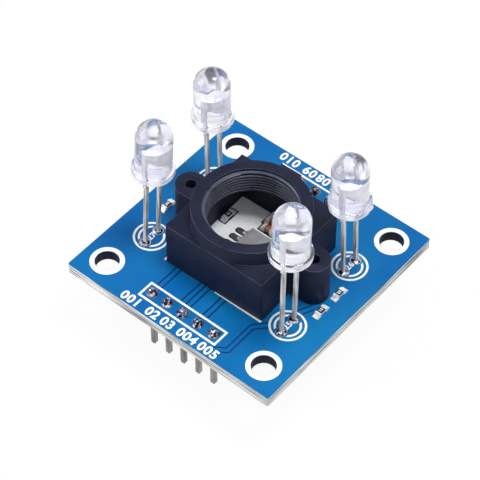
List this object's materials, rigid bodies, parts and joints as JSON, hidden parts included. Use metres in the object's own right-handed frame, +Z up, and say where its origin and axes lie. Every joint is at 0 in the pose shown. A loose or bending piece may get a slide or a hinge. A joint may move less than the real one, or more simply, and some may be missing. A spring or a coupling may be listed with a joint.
{
  "type": "color sensor module",
  "caption": "Square circuit board on pin headers with a threaded lens holder over a light sensor and clear LEDs on tall legs at its sides.",
  "frame": {"origin": "centre of the four mounting holes, on the board's underside", "axes": "+Z up out of the board's populated face, X along the rows of pins, +Y to the far row; the module stands on its pins"},
  "size_m": [0.0334, 0.0334, 0.0326],
  "materials": {
    "board": "blue lacquer over glass fibre board, pale fibre at the cut edges",
    "print": "white printed ink",
    "tin": "tinned copper",
    "holder": "black moulded plastic, satin",
    "screw": "plated steel",
    "strip": "black moulded plastic",
    "solder": "bright solder",
    "pin": "tinned brass, satin",
    "led_clear": "clear cast epoxy",
    "led_metal": "plated steel lead frame",
    "led_chip": "light chip under its coating",
    "sensor_clear": "clear moulded plastic",
    "sensor_metal": "plated lead frame",
    "sensor_chip": "bare silicon",
    "resistor": "black glaze over white ceramic",
    "chip_metal": "tinned ends",
    "capacitor": "fired brown ceramic"
  },
  "bodies": {
    "root": {"capacitor_large_body": "capacitor", "capacitor_large_ends": "chip_metal", "capacitor_small_body": "capacitor", "capacitor_small_ends": "chip_metal", "chip_solder": "solder", "circuit_board": "board", "header_pin_1": "pin", "header_pin_10": "pin", "header_pin_2": "pin", "header_pin_3": "pin", "header_pin_4": "pin", "header_pin_5": "pin", "header_pin_6": "pin", "header_pin_7": "pin", "header_pin_8": "pin", "header_pin_9": "pin", "header_solder_far": "solder", "header_solder_near": "solder", "header_strip_far": "strip", "header_strip_near": "strip", "holder_screw_left": "screw", "holder_screw_right": "screw", "led_back_anode": "led_metal", "led_back_body": "led_clear", "led_back_cathode": "led_metal", "led_back_chip": "led_chip", "led_back_solder": "solder", "led_front_anode": "led_metal", "led_front_body": "led_clear", "led_front_cathode": "led_metal", "led_front_chip": "led_chip", "led_front_solder": "solder", "led_left_anode": "led_metal", "led_left_body": "led_clear", "led_left_cathode": "led_metal", "led_left_chip": "led_chip", "led_left_solder": "solder", "led_right_anode": "led_metal", "led_right_body": "led_clear", "led_right_cathode": "led_metal", "led_right_chip": "led_chip", "led_right_solder": "solder", "lens_holder": "holder", "resistor_1_body": "resistor", "resistor_1_ends": "chip_metal", "resistor_2_body": "resistor", "resistor_2_ends": "chip_metal", "resistor_3_body": "resistor", "resistor_3_ends": "chip_metal", "resistor_4_body": "resistor", "resistor_4_ends": "chip_metal", "sensor_chip": "sensor_chip", "sensor_leads": "sensor_metal", "sensor_package": "sensor_clear", "tinned_pads": "tin", "white_print": "print"}
  },
  "joints": []
}
